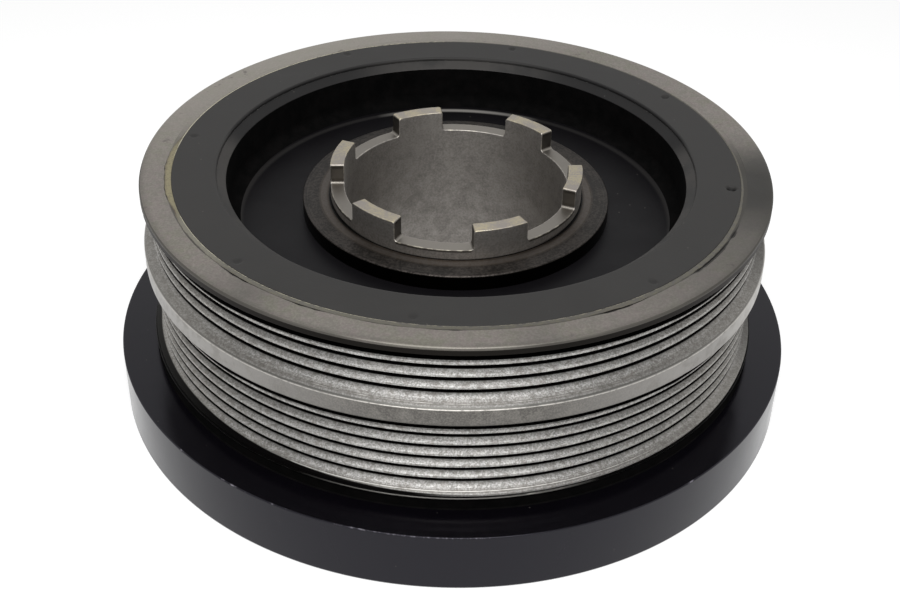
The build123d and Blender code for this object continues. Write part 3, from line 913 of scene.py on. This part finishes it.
inertia = dict(
    boreRadius=74.9, thickness=17.2, stepRadius=86.0, seatRadius=77.9, edge=0.22, rearEdge=0.5, columns=1200,
    chipDepth=0.12, rubbed=(-95, 16), rubbedShare=0.45, leastWear=0.3,
    chips=(41, 13, 0.5, 1.8, (-126.5, -124.2, -121.5, -119.8, -117, -114.5, -104, -102.6, -100.4)))


def makeInertiaRing(size):
    # The section is turned round the axis, and its front outer edge is cut in both directions by
    # chips. The edge's wear is a base plus the larger of the chips and one bell at the front, where
    # the worn metal is widened as a painted highlight.
    section, wear, soil = roundedSection([
        (size["boreRadius"], inertiaRear, size["edge"]),
        (inertiaRadius, inertiaRear, size["rearEdge"], 0.2),
        (inertiaRadius, size["thickness"], size["edge"]),
        (size["stepRadius"], size["thickness"], 0.25, 0.0),
        (size["stepRadius"], inertiaFront, 0.1, 0.0),
        (size["seatRadius"], inertiaFront, 0.15, 0.0),
        (size["seatRadius"], size["thickness"], 0.15),
        (size["boreRadius"], size["thickness"], 0.3)], support=0.15, steps=4)
    azimuth = evenAzimuths(size["columns"])
    outerEdge = wear * (section[:, :1] > inertiaRadius - 1) * (section[:, 1:] > size["thickness"] - 1)
    chipped = chips(azimuth, inertiaRadius, *size["chips"])
    cut = outerEdge * chipped * size["chipDepth"]
    worn = np.maximum(chipped, size["rubbedShare"] * bell(azimuth, *size["rubbed"]))
    worn = size["leastWear"] + (1 - size["leastWear"]) * worn
    piece = turnedGrid("painted_inertia_ring", section, azimuth, wear * worn, soil, cut, cut)
    dress(piece, "disc", "black_paint", "inertia_ring")
    radius, height = rowMiddles(section)
    # The step hidden under the pulley is painted matte black: painted shade
    dressRows(piece, "shadeBlack", (radius < size["stepRadius"] + 0.5) & (height > size["thickness"] - 0.05))


inertiaRubber = dict(sink=0.6, sinkRounding=3.0, columns=360)


def makeInertiaRubber(size):
    # A plain moulded ring whose two faces sink a little between the metal walls
    middle = (rimRadius + inertiaRubberRadius) / 2
    section, wear, soil = roundedSection([
        (rimRadius, inertiaRubberRear, 0.1),
        (middle, inertiaRubberRear + size["sink"], size["sinkRounding"]),
        (inertiaRubberRadius, inertiaRubberRear, 0.1),
        (inertiaRubberRadius, inertiaRubberFront, 0.1),
        (middle, inertiaRubberFront - size["sink"], size["sinkRounding"]),
        (rimRadius, inertiaRubberFront, 0.1)])
    piece = turnedGrid("moulded_inertia_rubber", section, evenAzimuths(size["columns"]), wear, soil)
    dress(piece, "rubber", "bonded_rubber", "inertia_rubber")


makePulley(pulley)
makeRubber(rubber)
makeFilm(film)
makeHub(hub)
makeSleeve(sleeve)
makeInertiaRing(inertia)
makeInertiaRubber(inertiaRubber)

studio = dict(
    ambient=0.2, lampSize=0.45, lampPlace=(0.0, -0.397, 0.636), lampPower=5.6,
    floorColour="#cfcfcf", floorSize=6.0, floorDrop=0.0002, roughness=0.9,
    noises=dict(), ramps=dict(glow=("radius", 450.0, 1200.0, 0.6, 1.0)))


def seenDirectly(tree):
    # 1 for what is seen straight, in metal or through glass, and 0 for light on its way elsewhere
    path = addNode(tree, "LightPath").node
    seen = path.outputs["Is Camera Ray"]
    for ray in ("Is Glossy Ray", "Is Transmission Ray"):
        seen = addNode(tree, "Math", {0: seen, 1: path.outputs[ray]}, operation="MAXIMUM")
    return seen


def makeStudio(look):
    # White surroundings, a soft square lamp high in front, and a pale painted floor: a square
    # that keeps the shadow and glows up to white with the distance from the part
    world = bpy.data.worlds.new("studio")
    bpy.context.scene.world = world
    world.use_nodes = True
    tree = world.node_tree
    strength = addNode(tree, "MapRange", {0: seenDirectly(tree), 3: look["ambient"], 4: 1.0})
    background = tree.nodes["Background"]
    background.inputs["Color"].default_value = (1, 1, 1, 1)
    tree.links.new(strength, background.inputs["Strength"])

    lampData = bpy.data.lights.new("softbox", "AREA")
    lampData.shape = "SQUARE"
    lampData.size = look["lampSize"]
    lampData.energy = look["lampPower"]
    place = Vector(look["lampPlace"])
    facing = (-place).to_track_quat("-Z", "Y").to_matrix().to_4x4()
    addObject("softbox", lampData).matrix_world = Matrix.Translation(place) @ facing

    half = look["floorSize"] / 2
    corners = [(x * half, y * half, -look["floorDrop"]) for x, y in ((-1, -1), (1, -1), (1, 1), (-1, 1))]
    mesh = bpy.data.meshes.new("floor")
    mesh.from_pydata(corners, [], [(0, 1, 2, 3)])
    floor = addObject("floor", mesh)
    made = newFinish("pale_floor", look, Base_Color=srgb(look["floorColour"]), Roughness=look["roughness"],
                     Specular_IOR_Level=0.0, Emission_Color=(1, 1, 1, 1))
    glow = shareOf(made, [seenDirectly(made.tree), "glow"])
    made.tree.links.new(glow, made.shader.inputs["Emission Strength"])
    mesh.materials.append(made.material)


makeStudio(studio)

camera = dict(
    place=(0.0, -0.33836, 0.25664), aim=(-0.00093, 0.0, 0.02006), roll=1.3215, lens=55.716, sensor=36.0)


def makeCamera(view):
    # A camera at its place, aimed at a point and rolled about its own axis by the given degrees
    data = bpy.data.cameras.new("camera")
    data.lens = view["lens"]
    data.sensor_width = view["sensor"]
    data.sensor_fit = "HORIZONTAL"
    data.clip_start = 0.01
    place = Vector(view["place"])
    facing = (Vector(view["aim"]) - place).to_track_quat("-Z", "Y").to_matrix().to_4x4()
    roll = Matrix.Rotation(math.radians(view["roll"]), 4, "Z")
    item = addObject("camera", data)
    item.matrix_world = Matrix.Translation(place) @ facing @ roll
    bpy.context.scene.camera = item


makeCamera(camera)
bpy.context.scene.view_settings.view_transform = "Standard"
print("studio and camera ready")
